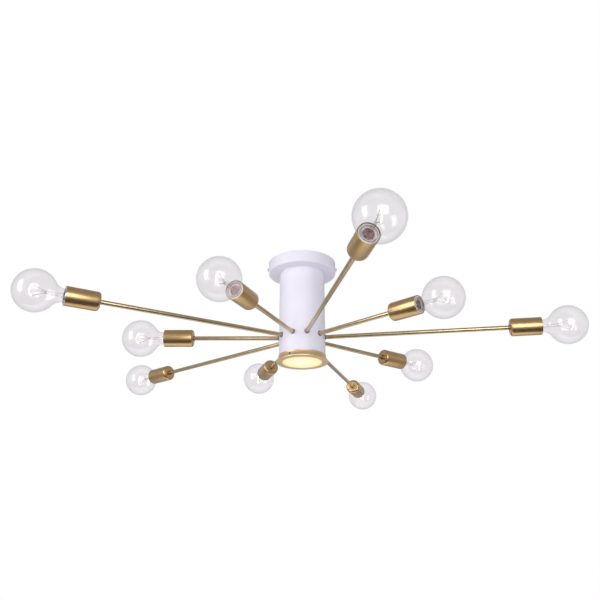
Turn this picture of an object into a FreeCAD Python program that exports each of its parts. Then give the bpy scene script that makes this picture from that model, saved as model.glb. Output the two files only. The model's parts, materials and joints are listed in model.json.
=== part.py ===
"""Ceiling chandelier with ten radial arms, alternately long and short.

Millimetres, +Z up.  The origin is the middle of the mounting bracket, in the plane of the ceiling:
everything hangs below it.  Each arm runs level from the white hub tube to a brass socket cup, and the
cup's screw socket holds a clear globe bulb.  A shallow canopy covers the bracket, and a trim ring with
a lit diffuser closes the hub's lower end.
"""
import FreeCAD, Part
import math
import os
import re

import Sketcher

ARMS = range(1, 11)
ALIAS = re.compile(r"\b([a-z][a-z0-9_]*)\b(?!\()")

doc = FreeCAD.newDocument("multi_arm_chandelier")
dims = doc.addObject("Spreadsheet::Sheet", "dims")

SIZES = {
    # canopy against the ceiling
    "canopy_radius": 75,
    "canopy_height": 26,
    "canopy_wall": 1.2,
    "canopy_edge": 3,
    # hub tube under the canopy
    "tube_radius": 50,
    "tube_wall": 1.2,
    "tube_length": 202.5,
    "plate_thick": 2,
    # bracket screwed to the ceiling box
    "bracket_width": 22,
    "bracket_thick": 2,
    "bracket_gap": 1,
    "ear_width": 16,
    "ear_depth": 20,
    "slot_spacing": 80,
    "slot_length": 22,
    "slot_width": 5,
    "wire_hole": 6,
    "ground_place": 17,
    # screws of the canopy, the bracket and the trim ring, all of one thread
    "screw_radius": 2,
    "screw_gap": 0.05,
    "screw_drop": 13,
    "screw_shank": 9,
    "head_radius": 3.6,
    "head_height": 3,
    "head_edge": 1.5,
    "drive_width": 1,
    "drive_depth": 1.1,
    # hollow threaded nipple that joins canopy and hub
    "nipple_radius": 5,
    "nipple_bore": 3.75,
    "nipple_length": 22,
    "nipple_nut_flats": 14,
    "nipple_nut_height": 5,
    # arms
    "arm_drop": 176,
    "arm_radius": 4.5,
    "arm_bore": 3,
    "arm_in_hub": 12,
    "arm_in_cup": 12,
    "thread_gap": 0.05,
    "long_reach": 550,
    "short_reach": 350,
    "collar_radius": 5.8,
    "collar_width": 1.6,
    "lock_nut_flats": 12,
    "lock_nut_height": 4,
    # socket cups and the lampholders in them
    "cup_radius": 18.5,
    "cup_length": 63,
    "cup_wall": 1,
    "cup_edge": 5.5,
    "holder_gap": 0.5,
    "holder_setback": 0.6,
    "holder_chamfer": 3,
    "holder_floor": 30,
    "holder_mouth": 14.3,
    "holder_mouth_depth": 4.5,
    "shell_wall": 0.4,
    "shell_length": 27,
    "shell_floor": 8,
    "contact_radius": 6.5,
    "contact_gap": 0.3,
    "rivet_length": 4,
    # globe bulbs with a screw cap
    "globe_radius": 40,
    "globe_to_mouth": 52,
    "glass_wall": 0.9,
    "neck_radius": 13.05,
    "neck_in_cap": 3,
    "stem_radius": 4,
    "stem_tip": 2.2,
    "stem_length": 34,
    "bulb_length": 118,
    "cap_length": 27,
    "cap_radius": 13.1,
    "cap_skirt": 13.6,
    "cap_wall": 0.5,
    "cap_clearance": 0.3,
    "cone_inset": 2,
    "cone_foot": 4.8,
    "cone_top": 6.4,
    "cap_floor": 8,
    "insulator_rim": 1,
    "pin_radius": 2,
    "pin_top": 4.8,
    "button_radius": 4.2,
    "button_height": 1.6,
    "button_edge": 1,
    # trim ring, diffuser and the lamp board above it
    "ring_height": 14,
    "ring_grip": 1,
    "ring_spread": 5,
    "ring_lip": 1.6,
    "ring_flange": 2,
    "ring_edge": 0.6,
    "slide_gap": 0.2,
    "diffuser_lip": 3.5,
    "diffuser_thick": 4,
    "tray_gap": 0.6,
    "tray_wall": 2,
    "tray_height": 18,
    "board_gap": 3.2,
    "board_thick": 1.6,
    "chip_side": 3,
    "chip_height": 0.8,
    "chip_circle": 30,
    "set_screw_length": 8,
    "set_screw_socket": 1.15,
    # wiring inside
    "lead_radius": 2.2,
    "supply_radius": 2.8,
    "block_radius": 16,
    "block_height": 16,
    "connector_radius": 5,
    "connector_height": 8,
}

# Directions of the arms, anticlockwise from +X seen from above, in degrees.  Each arm is turned
# by hand before its nuts are tightened, so the steps between them are uneven.
AZIMUTHS = (-9, 36.5, 71.5, 109, 141, 180, 209.5, 246, 281.5, 318)
SIZES.update({f"azimuth_{number:02d}": angle for number, angle in zip(ARMS, AZIMUTHS)})

for row, (alias, value) in enumerate(SIZES.items(), 1):
    dims.set(f"A{row}", alias)
    dims.set(f"B{row}", str(value))
    dims.setAlias(f"B{row}", alias)
doc.recompute()


# ---------------------------------------------------------------- helpers

def size(text):
    """The number that an expression of the sheet's aliases gives."""
    return float(dims.evalExpression(text))


def bind(thing, path, text):
    """Bind one property to an expression of the sheet's aliases."""
    thing.setExpression(path, ALIAS.sub(r"dims.\1", text))


def origin_plane(body, role):
    """One of a body's own origin planes."""
    return next(plane for plane in body.Origin.OriginFeatures if plane.Role == role)


def draw(body, name, role, *outlines):
    """A sketch of closed outlines, with every corner tied to the sheet.

    A corner is (across, up), or (across, up, centre_across, centre_up, turn) when an arc about that
    centre leads to the next corner: turn is 1 for anticlockwise and -1 for clockwise.  An outline
    that is a circle on the sketch's X axis is a pair instead of a list: (across, radius).
    """
    sketch = body.newObject("Sketcher::SketchObject", name)
    sketch.AttachmentSupport = [(origin_plane(body, role), "")]
    sketch.MapMode = "FlatFace"
    for outline in outlines:
        if isinstance(outline, tuple):
            draw_circle(sketch, *outline)
        else:
            draw_outline(sketch, outline)
    return sketch


def draw_circle(sketch, across, radius):
    """Add a circle centred on the sketch's X axis."""
    centre = FreeCAD.Vector(size(across), 0, 0)
    circle = Part.Circle(centre, FreeCAD.Vector(0, 0, 1), size(radius))
    edge = sketch.addGeometry(circle)
    hold(sketch, "DistanceX", edge, 3, across)
    hold(sketch, "DistanceY", edge, 3, "0")
    index = sketch.addConstraint(Sketcher.Constraint("Radius", edge, size(radius)))
    bind(sketch, f"Constraints[{index}]", radius)


def draw_outline(sketch, outline):
    """Add one closed outline to a sketch: its edges, their joints and their sizes."""
    points = [FreeCAD.Vector(size(corner[0]), size(corner[1]), 0) for corner in outline]
    edges = []
    for corner, start, end in zip(outline, points, points[1:] + points[:1]):
        if len(corner) == 2:
            edges.append((sketch.addGeometry(Part.LineSegment(start, end)), 1, 2))
            continue
        centre = FreeCAD.Vector(size(corner[2]), size(corner[3]), 0)
        first, last = (start, end) if corner[4] > 0 else (end, start)
        angles = [math.atan2(point.y - centre.y, point.x - centre.x) for point in (first, last)]
        circle = Part.Circle(centre, FreeCAD.Vector(0, 0, 1), (start - centre).Length)
        arc = sketch.addGeometry(Part.ArcOfCircle(circle, angles[0], angles[1]))
        edges.append((arc, 1, 2) if corner[4] > 0 else (arc, 2, 1))
    for (edge, _, end), (following, start, _) in zip(edges, edges[1:] + edges[:1]):
        sketch.addConstraint(Sketcher.Constraint("Coincident", edge, end, following, start))
    for (edge, start, _), corner in zip(edges, outline):
        hold(sketch, "DistanceX", edge, start, corner[0])
        hold(sketch, "DistanceY", edge, start, corner[1])
        if len(corner) > 2:
            hold(sketch, "DistanceX", edge, 3, corner[2])


def hold(sketch, kind, edge, point, text):
    """Hold one point of an edge at a distance from the sketch's origin."""
    index = sketch.addConstraint(Sketcher.Constraint(kind, -1, 1, edge, point, size(text)))
    if ALIAS.search(text):
        bind(sketch, f"Constraints[{index}]", text)


def turned(label, outline, rounds=()):
    """A body turned about its own Z axis from an outline of (radius, height) corners.

    Each of rounds is (radius, height, fillet) and rounds the edge that this corner turns into.
    """
    body = doc.addObject("PartDesign::Body", label)
    sketch = draw(body, f"{label}_outline", "XZ_Plane", outline)
    feature = body.newObject("PartDesign::Revolution", f"{label}_turned")
    feature.Profile = sketch
    feature.ReferenceAxis = (sketch, ["V_Axis"])
    feature.Angle = 360
    sketch.Visibility = False
    for count, (radius, height, fillet) in enumerate(rounds, 1):
        doc.recompute()
        edge = circle_name(feature.Shape, size(radius), size(height))
        rounded = body.newObject("PartDesign::Fillet", f"{label}_round_{count}")
        rounded.Base = (feature, [edge])
        bind(rounded, "Radius", fillet)
        feature = rounded
    body.Tip = feature
    return body


def circle_name(shape, radius, height):
    """The name of the level circular edge with this radius at this height."""
    for number, edge in enumerate(shape.Edges, 1):
        curve = edge.Curve
        if isinstance(curve, Part.Circle) and abs(curve.Radius - radius) < 1e-4:
            if abs(curve.Center.z - height) < 1e-4:
                return f"Edge{number}"
    raise ValueError(f"no round edge of radius {radius} at height {height}")


def bar(label, radius, length):
    """A plain round bar standing on its origin."""
    cylinder = doc.addObject("Part::Cylinder", label)
    bind(cylinder, "Radius", radius)
    bind(cylinder, "Height", length)
    return cylinder


def cut(label, base, tool):
    """base with tool cut out of it."""
    result = doc.addObject("Part::Cut", label)
    result.Base = base
    result.Tool = tool
    return result


def joined(label, pieces):
    """Several pieces as one tool for a cut."""
    result = doc.addObject("Part::MultiFuse", label)
    result.Shapes = pieces
    return result


def hex_nut(label, flats, height, bore):
    """A plain hexagonal nut standing on its origin."""
    blank = doc.addObject("Part::Prism", f"{label}_blank")
    blank.Polygon = 6
    bind(blank, "Circumradius", f"({flats}) / sqrt(3)")
    bind(blank, "Height", height)
    return cut(label, blank, bar(f"{label}_bore", bore, height))


def stand(thing, height):
    """Put a piece on the hub's axis, with its origin at this height."""
    bind(thing, "Placement.Base.z", height)
    return thing


def aim(thing, azimuth, out, height):
    """Lay a piece along a level direction, with its origin this far out from the hub's axis."""
    heading = math.radians(size(azimuth))
    outward = FreeCAD.Vector(math.cos(heading), math.sin(heading), 0)
    thing.Placement = FreeCAD.Placement(
        FreeCAD.Vector(), FreeCAD.Rotation(FreeCAD.Vector(0, 0, 1), outward)
    )
    bind(thing, "Placement.Base.x", f"({out}) * cos({azimuth})")
    bind(thing, "Placement.Base.y", f"({out}) * sin({azimuth})")
    bind(thing, "Placement.Base.z", height)
    return thing


def copy_of(thing, label):
    """Another place for the same piece."""
    link = doc.addObject("App::Link", label)
    link.LinkedObject = thing
    return link


def bundle(label, pieces):
    """Identical or closely belonging pieces as one group of separate solids."""
    group = doc.addObject("Part::Compound", label)
    group.Links = pieces
    return group


def radial_bars(label, radius, start, length, azimuths, height):
    """Round bars that point straight out from the hub's axis: tools for radial holes."""
    bars = []
    for count, azimuth in enumerate(azimuths, 1):
        bars.append(aim(bar(f"{label}_{count}", radius, length), azimuth, start, height))
    return joined(label, bars)


def reach(number):
    """How far out the centre of an arm's globe is: the odd arms are the long ones."""
    return "long_reach" if number % 2 else "short_reach"


def azimuth(number):
    """The alias of an arm's direction."""
    return f"azimuth_{number:02d}"


TUBE_INSIDE = "tube_radius - tube_wall"
CANOPY_INSIDE = "canopy_radius - canopy_wall"
LOWER_RIM = "-canopy_height - tube_length"
RING_BOTTOM = f"{LOWER_RIM} - ring_flange"
ARM_LEVEL = "-arm_drop"
SCREW_HOLE = "screw_radius + screw_gap"
RING_TOP = "(tube_radius + ring_grip)"
RING_FOOT = "(tube_radius + ring_grip + ring_spread)"
RING_FLARE = "((ring_spread^2 + (ring_height - ring_lip)^2) / (2 * ring_spread))"
TRAY_INSIDE = f"({TUBE_INSIDE} - tray_gap - tray_wall)"
DIFFUSER_RADIUS = f"({TRAY_INSIDE} - slide_gap - diffuser_lip)"
BOARD_RADIUS = f"({TRAY_INSIDE} - board_gap)"
CHIPS = 12
TRIM_SCREW_AZIMUTHS = ("0", "120", "240")
CANOPY_SCREW_AZIMUTHS = ("0", "180")


# ---------------------------------------------------------------- ceiling end

def make_bracket():
    """Flat steel crossbar with two slots for the ceiling box and two ears for the canopy screws."""
    body = doc.addObject("PartDesign::Body", "mounting_bracket")
    end = f"{CANOPY_INSIDE} - bracket_gap"
    half = "bracket_width / 2"
    strap_outline = [
        (f"-({end})", f"-{half}"), (end, f"-{half}"), (end, half), (f"-({end})", half),
    ]
    strap = body.newObject("PartDesign::Pad", "bracket_strap")
    strap.Profile = draw(body, "strap_outline", "XY_Plane", strap_outline)
    strap.Reversed = True
    bind(strap, "Length", "bracket_thick")

    ear = "ear_width / 2"
    ears = []
    for sign in ("", "-"):
        inner = f"{sign}({end} - bracket_thick)"
        outer = f"{sign}({end})"
        ears.append([(inner, f"-{ear}"), (outer, f"-{ear}"), (outer, ear), (inner, ear)])
    folded = body.newObject("PartDesign::Pad", "bracket_ears")
    folded.Profile = draw(body, "ear_outlines", "XY_Plane", *ears)
    folded.Reversed = True
    bind(folded, "Length", "ear_depth")
    body.Tip = folded
    doc.recompute()

    openings = [
        ("0", "wire_hole"),
        ("-ground_place", "screw_radius"),
        slot("slot_spacing / 2"),
        slot("-slot_spacing / 2"),
    ]
    punched = body.newObject("PartDesign::Pocket", "bracket_openings")
    punched.Profile = draw(body, "opening_outlines", "XY_Plane", *openings)
    bind(punched, "Length", "bracket_thick")
    body.Tip = punched
    doc.recompute()

    ear_holes = radial_bars(
        "ear_drill", "screw_radius", f"{end} - 2 * bracket_thick", "3 * bracket_thick",
        CANOPY_SCREW_AZIMUTHS, "-screw_drop",
    )
    return cut("mounting_bracket_drilled", body, ear_holes)


def slot(across):
    """Outline of a slot along the sketch's X axis, centred here."""
    side = "slot_width / 2"
    left = f"{across} - (slot_length - slot_width) / 2"
    right = f"{across} + (slot_length - slot_width) / 2"
    return [
        (left, f"-{side}"), (right, f"-{side}", right, "0", 1),
        (right, side), (left, side, left, "0", 1),
    ]


def make_canopy():
    """Shallow spun cup, open to the ceiling, with a nipple hole and two screw holes."""
    hole = "nipple_radius + screw_gap"
    cup = turned(
        "canopy_cup",
        [
            (hole, "0"), ("canopy_radius", "0"), ("canopy_radius", "canopy_height"),
            (CANOPY_INSIDE, "canopy_height"), (CANOPY_INSIDE, "canopy_wall"), (hole, "canopy_wall"),
        ],
        [
            ("canopy_radius", "0", "canopy_edge"),
            (CANOPY_INSIDE, "canopy_wall", "canopy_edge - canopy_wall"),
        ],
    )
    stand(cup, "-canopy_height")
    holes = radial_bars(
        "canopy_drill", SCREW_HOLE, f"{CANOPY_INSIDE} - canopy_wall", "3 * canopy_wall",
        CANOPY_SCREW_AZIMUTHS, "-screw_drop",
    )
    return cut("canopy", cup, holes)


def make_canopy_screws():
    """Two slotted, round-headed screws from the sides into the bracket's ears."""
    top = "head_height"
    blank = turned(
        "canopy_screw_blank",
        [
            ("0", "-screw_shank"), ("screw_radius", "-screw_shank"), ("screw_radius", "0"),
            ("head_radius", "0"), ("head_radius", top), ("0", top),
        ],
        [("head_radius", top, "head_edge")],
    )
    drive = doc.addObject("Part::Box", "canopy_screw_drive")
    bind(drive, "Length", "3 * head_radius")
    bind(drive, "Width", "drive_width")
    bind(drive, "Height", "2 * drive_depth")
    bind(drive, "Placement.Base.x", "-1.5 * head_radius")
    bind(drive, "Placement.Base.y", "-drive_width / 2")
    bind(drive, "Placement.Base.z", "head_height - drive_depth")
    screw = cut("canopy_screw", blank, drive)
    pair = []
    for count, direction in enumerate(CANOPY_SCREW_AZIMUTHS, 1):
        place = copy_of(screw, f"canopy_screw_{count}")
        pair.append(aim(place, direction, "canopy_radius", "-screw_drop"))
    return bundle("canopy_screws", pair)


def make_ground_screw():
    """Earth screw whose head hangs under the bracket, with its shank in the bracket's hole."""
    screw = turned(
        "ground_screw",
        [
            ("0", "-head_height"), ("head_radius", "-head_height"), ("head_radius", "0"),
            ("screw_radius", "0"), ("screw_radius", "bracket_thick"), ("0", "bracket_thick"),
        ],
        [("head_radius", "-head_height", "head_edge")],
    )
    bind(screw, "Placement.Base.x", "-ground_place")
    return stand(screw, "-bracket_thick")


def make_nipple():
    """Hollow threaded tube through the canopy's floor and the hub's top plate."""
    nipple = turned(
        "nipple",
        [
            ("nipple_bore", "0"), ("nipple_radius", "0"),
            ("nipple_radius", "nipple_length"), ("nipple_bore", "nipple_length"),
        ],
    )
    return stand(nipple, "-canopy_height + canopy_wall / 2 - plate_thick / 2 - nipple_length / 2")


def make_nipple_nuts():
    """One nut on the canopy's floor and one under the hub's top plate."""
    nut = hex_nut(
        "nipple_nut", "nipple_nut_flats", "nipple_nut_height", "nipple_radius + thread_gap"
    )
    upper = stand(copy_of(nut, "nipple_nut_upper"), "-canopy_height + canopy_wall")
    lower = copy_of(nut, "nipple_nut_lower")
    stand(lower, "-canopy_height - plate_thick - nipple_nut_height")
    return bundle("nipple_nuts", [upper, lower])


# ---------------------------------------------------------------- hub

def make_hub_tube():
    """Straight tube with ten holes for the arms and three near its foot for the trim screws."""
    tube = turned(
        "tube_blank",
        [
            (TUBE_INSIDE, "0"), ("tube_radius", "0"),
            ("tube_radius", "tube_length"), (TUBE_INSIDE, "tube_length"),
        ],
    )
    stand(tube, LOWER_RIM)
    arm_holes = radial_bars(
        "arm_drill", "arm_radius + thread_gap", f"{TUBE_INSIDE} - 3 * tube_wall", "6 * tube_wall",
        [azimuth(number) for number in ARMS], ARM_LEVEL,
    )
    return cut("hub_tube", tube, joined("tube_drills", [arm_holes, trim_drill("tube")]))


def trim_drill(name):
    """Tool for the three trim screw holes, which run through the ring, the tube and the tray."""
    return radial_bars(
        f"{name}_trim_drill", SCREW_HOLE, BOARD_RADIUS, "2 * set_screw_length",
        TRIM_SCREW_AZIMUTHS, f"{RING_BOTTOM} + ring_height / 2",
    )


def make_top_plate():
    """Round plate welded into the tube's upper end, flush with it."""
    hole = "nipple_radius + screw_gap"
    plate = turned(
        "hub_top_plate",
        [
            (hole, "0"), (TUBE_INSIDE, "0"), (TUBE_INSIDE, "plate_thick"), (hole, "plate_thick"),
        ],
    )
    return stand(plate, "-canopy_height - plate_thick")


def make_trim_ring():
    """Ring that flares like a trumpet from the tube's foot; its flange holds the diffuser."""
    opening = f"{DIFFUSER_RADIUS} + slide_gap / 2"
    inside = "tube_radius + slide_gap"
    ring = turned(
        "ring_blank",
        [
            (opening, "0"), (RING_FOOT, "0"),
            (RING_FOOT, "ring_lip", f"{RING_TOP} + {RING_FLARE}", "ring_height", -1),
            (RING_TOP, "ring_height"), (inside, "ring_height"), (inside, "ring_flange"),
            (opening, "ring_flange"),
        ],
        [(RING_FOOT, "0", "ring_edge")],
    )
    stand(ring, RING_BOTTOM)
    return cut("trim_ring", ring, trim_drill("ring"))


def make_trim_screws():
    """Three set screws with hexagon sockets, which hold ring and tray to the tube."""
    socket = doc.addObject("Part::Prism", "set_screw_drive")
    socket.Polygon = 6
    bind(socket, "Circumradius", "set_screw_socket")
    bind(socket, "Height", "screw_radius")
    stand(socket, "set_screw_length - screw_radius")
    screw = cut("set_screw", bar("set_screw_blank", "screw_radius", "set_screw_length"), socket)
    waist = f"{RING_TOP} + {RING_FLARE} - sqrt({RING_FLARE}^2 - (ring_height / 2)^2)"
    outside = f"{waist} - screw_gap - set_screw_length"
    screws = []
    for count, direction in enumerate(TRIM_SCREW_AZIMUTHS, 1):
        place = copy_of(screw, f"set_screw_{count}")
        screws.append(aim(place, direction, outside, f"{RING_BOTTOM} + ring_height / 2"))
    return bundle("trim_screws", screws)


def make_diffuser():
    """Opal disc, flush with the ring's foot, whose lip lies on the flange."""
    lip = f"{DIFFUSER_RADIUS} + diffuser_lip"
    disc = turned(
        "diffuser",
        [
            ("0", "0"), (DIFFUSER_RADIUS, "0"), (DIFFUSER_RADIUS, "ring_flange"),
            (lip, "ring_flange"), (lip, "diffuser_thick"), ("0", "diffuser_thick"),
        ],
    )
    return stand(disc, RING_BOTTOM)


def make_led_tray():
    """Aluminium cup that cools the lamp board and takes the trim screws."""
    outside = f"{TRAY_INSIDE} + tray_wall"
    inside = TRAY_INSIDE
    hole = "supply_radius + slide_gap"
    tray = turned(
        "tray_blank",
        [
            (inside, "0"), (outside, "0"), (outside, "tray_height"), (hole, "tray_height"),
            (hole, "tray_height - tray_wall"), (inside, "tray_height - tray_wall"),
        ],
    )
    stand(tray, LOWER_RIM)
    return cut("led_tray", tray, trim_drill("tray"))


def make_led_board():
    """Round board under the tray's roof, with a circle of lamp chips that shine down."""
    hole = "supply_radius + slide_gap"
    roof = f"{LOWER_RIM} + tray_height - tray_wall"
    board = turned(
        "board",
        [
            (hole, "0"), (BOARD_RADIUS, "0"), (BOARD_RADIUS, "board_thick"),
            (hole, "board_thick"),
        ],
    )
    stand(board, f"{roof} - board_thick")
    chip = doc.addObject("Part::Box", "chip")
    for side in ("Length", "Width"):
        bind(chip, side, "chip_side")
    bind(chip, "Height", "chip_height")
    chips = []
    for step in range(CHIPS):
        place = copy_of(chip, f"chip_{step + 1}")
        turn = f"{step} * 360 / {CHIPS}"
        bind(place, "Placement.Base.x", f"chip_circle * cos({turn}) - chip_side / 2")
        bind(place, "Placement.Base.y", f"chip_circle * sin({turn}) - chip_side / 2")
        chips.append(stand(place, f"{roof} - board_thick - chip_height"))
    return bundle("led_board", [board] + chips)


# ---------------------------------------------------------------- arms and sockets

def cup_back(number):
    """How far out the flat back of an arm's socket cup is."""
    return f"{reach(number)} - globe_to_mouth - cup_length"


def make_arm(number):
    """Straight tube from just inside the hub to just inside the cup."""
    start = "tube_radius - arm_in_hub"
    end = f"{cup_back(number)} + arm_in_cup"
    arm = turned(
        f"arm_{number:02d}",
        [("arm_bore", start), ("arm_radius", start), ("arm_radius", end), ("arm_bore", end)],
    )
    return aim(arm, azimuth(number), "0", ARM_LEVEL)


def make_collars():
    """Thin round collars: one outside the hub and one behind the cup, on every arm."""
    hole = "arm_radius + thread_gap"
    collar = turned(
        "collar",
        [
            (hole, "0"), ("collar_radius", "0"),
            ("collar_radius", "collar_width"), (hole, "collar_width"),
        ],
    )
    collars = []
    for number in ARMS:
        for end, out in (("hub", "tube_radius"), ("cup", f"{cup_back(number)} - collar_width")):
            place = copy_of(collar, f"collar_{end}_{number:02d}")
            collars.append(aim(place, azimuth(number), out, ARM_LEVEL))
    return bundle("arm_collars", collars)


def make_lock_nuts():
    """Thin nuts on the arms' threaded ends: one inside the hub and one inside each cup."""
    nut = hex_nut("lock_nut", "lock_nut_flats", "lock_nut_height", "arm_radius + thread_gap")
    hub_seat = f"sqrt(({TUBE_INSIDE})^2 - lock_nut_flats^2 / 3)"
    nuts = []
    for number in ARMS:
        places = (("hub", f"{hub_seat} - lock_nut_height"), ("cup", f"{cup_back(number)} + cup_wall"))
        for end, out in places:
            place = copy_of(nut, f"lock_nut_{end}_{number:02d}")
            nuts.append(aim(place, azimuth(number), out, ARM_LEVEL))
    return bundle("lock_nuts", nuts)


def make_cup():
    """Drawn brass cup, open outwards, with a round-edged flat back."""
    hole = "arm_radius + thread_gap"
    inside = "cup_radius - cup_wall"
    return turned(
        "cup",
        [
            (hole, "0"), ("cup_radius", "0"), ("cup_radius", "cup_length"),
            (inside, "cup_length"), (inside, "cup_wall"), (hole, "cup_wall"),
        ],
        [
            ("cup_radius", "0", "cup_edge"),
            (inside, "cup_wall", "cup_edge - cup_wall"),
        ],
    )


HOLDER_BORE = "cap_radius + cap_clearance + shell_wall + thread_gap"


def make_lampholder():
    """White insulating body: a boss on the arm's thread, and a deep bore for the screw shell."""
    base = "cup_wall + lock_nut_height"
    outside = "cup_radius - cup_wall - holder_gap"
    front = "cup_length - holder_setback"
    boss = "arm_in_cup + holder_setback"
    hole = "arm_radius + thread_gap"
    return turned(
        "holder",
        [
            (hole, base), (f"{outside} - holder_chamfer", base),
            (outside, f"{base} + holder_chamfer"), (outside, front), ("holder_mouth", front),
            ("holder_mouth", f"{front} - holder_mouth_depth"),
            (HOLDER_BORE, f"{front} - holder_mouth_depth"), (HOLDER_BORE, "holder_floor"),
            ("arm_bore", "holder_floor"), ("arm_bore", boss), (hole, boss),
        ],
    )


def make_screw_shell():
    """Thin metal shell in the lampholder's bore, which the bulb's cap screws into."""
    inside = "cap_radius + cap_clearance"
    outside = f"{inside} + shell_wall"
    floor = "holder_floor"
    return turned(
        "shell",
        [
            ("shell_floor", floor), (outside, floor), (outside, f"{floor} + shell_length"),
            (inside, f"{floor} + shell_length"), (inside, f"{floor} + shell_wall"),
            ("shell_floor", f"{floor} + shell_wall"),
        ],
    )


BULB_TIP = "cup_length + globe_to_mouth + globe_radius - bulb_length"


def make_socket_contact():
    """Sprung centre contact: a rivet in the wire hole with a cone up to the bulb's tip."""
    floor = "holder_floor"
    rivet = "arm_bore - thread_gap"
    top = f"{BULB_TIP} - contact_gap"
    return turned(
        "centre_contact",
        [
            ("0", f"{floor} - rivet_length"), (rivet, f"{floor} - rivet_length"),
            (rivet, floor), ("contact_radius", floor), ("contact_radius", f"{floor} + shell_wall"),
            (rivet, top), ("0", top),
        ],
    )


def on_every_arm(label, piece):
    """One copy of a socket piece on every arm, in one group."""
    places = []
    for number in ARMS:
        place = copy_of(piece, f"{label}_{number:02d}")
        places.append(aim(place, azimuth(number), cup_back(number), ARM_LEVEL))
    return bundle(label, places)


# ---------------------------------------------------------------- bulbs

def bulb_place(thing, number):
    """Screwed home: the tip of the bulb's cap is the piece's own origin."""
    out = f"{reach(number)} + globe_radius - bulb_length"
    return aim(thing, azimuth(number), out, ARM_LEVEL)


def make_bulb_glass(number):
    """Clear globe with a flowing neck; its foot is sealed by the flare of the inner stem."""
    centre = "(bulb_length - globe_radius)"
    drop = f"({centre} - cap_length)"
    flow = f"((neck_radius^2 + {drop}^2 - globe_radius^2) / (2 * (globe_radius - neck_radius)))"
    flow_across = f"neck_radius + {flow}"
    share = f"globe_radius / (globe_radius + {flow})"
    inner_share = f"(globe_radius - glass_wall) / (globe_radius + {flow})"
    foot = "cap_length - neck_in_cap"
    inside = "neck_radius - glass_wall"
    glass = turned(
        f"bulb_glass_{number:02d}",
        [
            ("0", foot),
            ("neck_radius", foot),
            ("neck_radius", "cap_length", flow_across, "cap_length", -1),
            (f"({flow_across}) * {share}", f"{centre} - {drop} * {share}", "0", centre, 1),
            ("0", "bulb_length"),
            ("0", "bulb_length - glass_wall", "0", centre, -1),
            (
                f"({flow_across}) * {inner_share}", f"{centre} - {drop} * {inner_share}",
                flow_across, "cap_length", 1,
            ),
            (inside, "cap_length"),
            (inside, f"{foot} + glass_wall"),
            ("stem_radius", f"{foot} + glass_wall"),
            ("stem_tip", f"{foot} + stem_length"),
            ("0", f"{foot} + stem_length"),
        ],
    )
    return bulb_place(glass, number)


def make_bulb_cap(number):
    """Metal screw cap with its black insulator, bored for the tip contact."""
    bore = "pin_radius + screw_gap"
    base = "button_height + contact_gap"
    inside = "cap_radius - cap_wall"
    shoulder = "cap_length - neck_in_cap - 2 * cap_wall"
    cap = turned(
        f"bulb_cap_{number:02d}",
        [
            (bore, base), ("button_radius + insulator_rim", base),
            ("cap_radius - cone_inset", "cone_foot"), ("cap_radius", "cone_top"),
            ("cap_radius", shoulder),
            ("cap_skirt", f"{shoulder} + cap_wall"), ("cap_skirt", "cap_length"),
            ("neck_radius + thread_gap", "cap_length"),
            ("neck_radius + thread_gap", f"{shoulder} + 2 * cap_wall"),
            (inside, f"{shoulder}"), (inside, "cap_floor"), (bore, "cone_top"),
        ],
    )
    return bulb_place(cap, number)


def make_bulb_contact(number):
    """Soldered tip contact: a button with a pin up into the insulator."""
    contact = turned(
        f"bulb_contact_{number:02d}",
        [
            ("0", "0"), ("button_radius - button_edge", "0"),
            ("button_radius", "button_height / 2"), ("button_radius", "button_height"),
            ("pin_radius", "button_height"), ("pin_radius", "pin_top"), ("0", "pin_top"),
        ],
    )
    return bulb_place(contact, number)


# ---------------------------------------------------------------- wiring

def make_wiring():
    """Loom: a lead along every arm, a splice block in the hub, supply and lamp board leads."""
    block = stand(
        bar("splice_block", "block_radius", "block_height"), f"{ARM_LEVEL} - block_height / 2"
    )
    pieces = [block]
    for number in ARMS:
        length = f"{cup_back(number)} + holder_floor - rivet_length - thread_gap - block_radius"
        lead = bar(f"arm_lead_{number:02d}", "lead_radius", length)
        pieces.append(aim(lead, azimuth(number), "block_radius", ARM_LEVEL))
    block_top = f"{ARM_LEVEL} + block_height / 2"
    block_foot = f"{ARM_LEVEL} - block_height / 2"
    connector_foot = "-bracket_thick - bracket_gap - connector_height"
    supply = bar("supply_lead", "supply_radius", f"{connector_foot} - ({block_top})")
    pieces.append(stand(supply, block_top))
    connector = bar("wire_connector", "connector_radius", "connector_height")
    pieces.append(stand(connector, connector_foot))
    board_top = f"{LOWER_RIM} + tray_height - tray_wall"
    lamp_lead = bar("lamp_lead", "lead_radius", f"{block_foot} - ({board_top})")
    pieces.append(stand(lamp_lead, board_top))
    return bundle("wiring", pieces)


# ---------------------------------------------------------------- the fixture

nodes = {
    "mounting_bracket": make_bracket(),
    "ground_screw": make_ground_screw(),
    "canopy": make_canopy(),
    "canopy_screws": make_canopy_screws(),
    "nipple": make_nipple(),
    "nipple_nuts": make_nipple_nuts(),
    "hub_tube": make_hub_tube(),
    "hub_top_plate": make_top_plate(),
    "trim_ring": make_trim_ring(),
    "trim_screws": make_trim_screws(),
    "diffuser": make_diffuser(),
    "led_tray": make_led_tray(),
    "led_board": make_led_board(),
    "arm_collars": make_collars(),
    "lock_nuts": make_lock_nuts(),
    "socket_cups": on_every_arm("socket_cups", make_cup()),
    "lampholders": on_every_arm("lampholders", make_lampholder()),
    "screw_shells": on_every_arm("screw_shells", make_screw_shell()),
    "socket_contacts": on_every_arm("socket_contacts", make_socket_contact()),
    "wiring": make_wiring(),
}
for number in ARMS:
    nodes[f"arm_{number:02d}"] = make_arm(number)
    nodes[f"bulb_glass_{number:02d}"] = make_bulb_glass(number)
    nodes[f"bulb_cap_{number:02d}"] = make_bulb_cap(number)
    nodes[f"bulb_contact_{number:02d}"] = make_bulb_contact(number)
doc.recompute()

for name, node in nodes.items():
    node.Label = name

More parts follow.
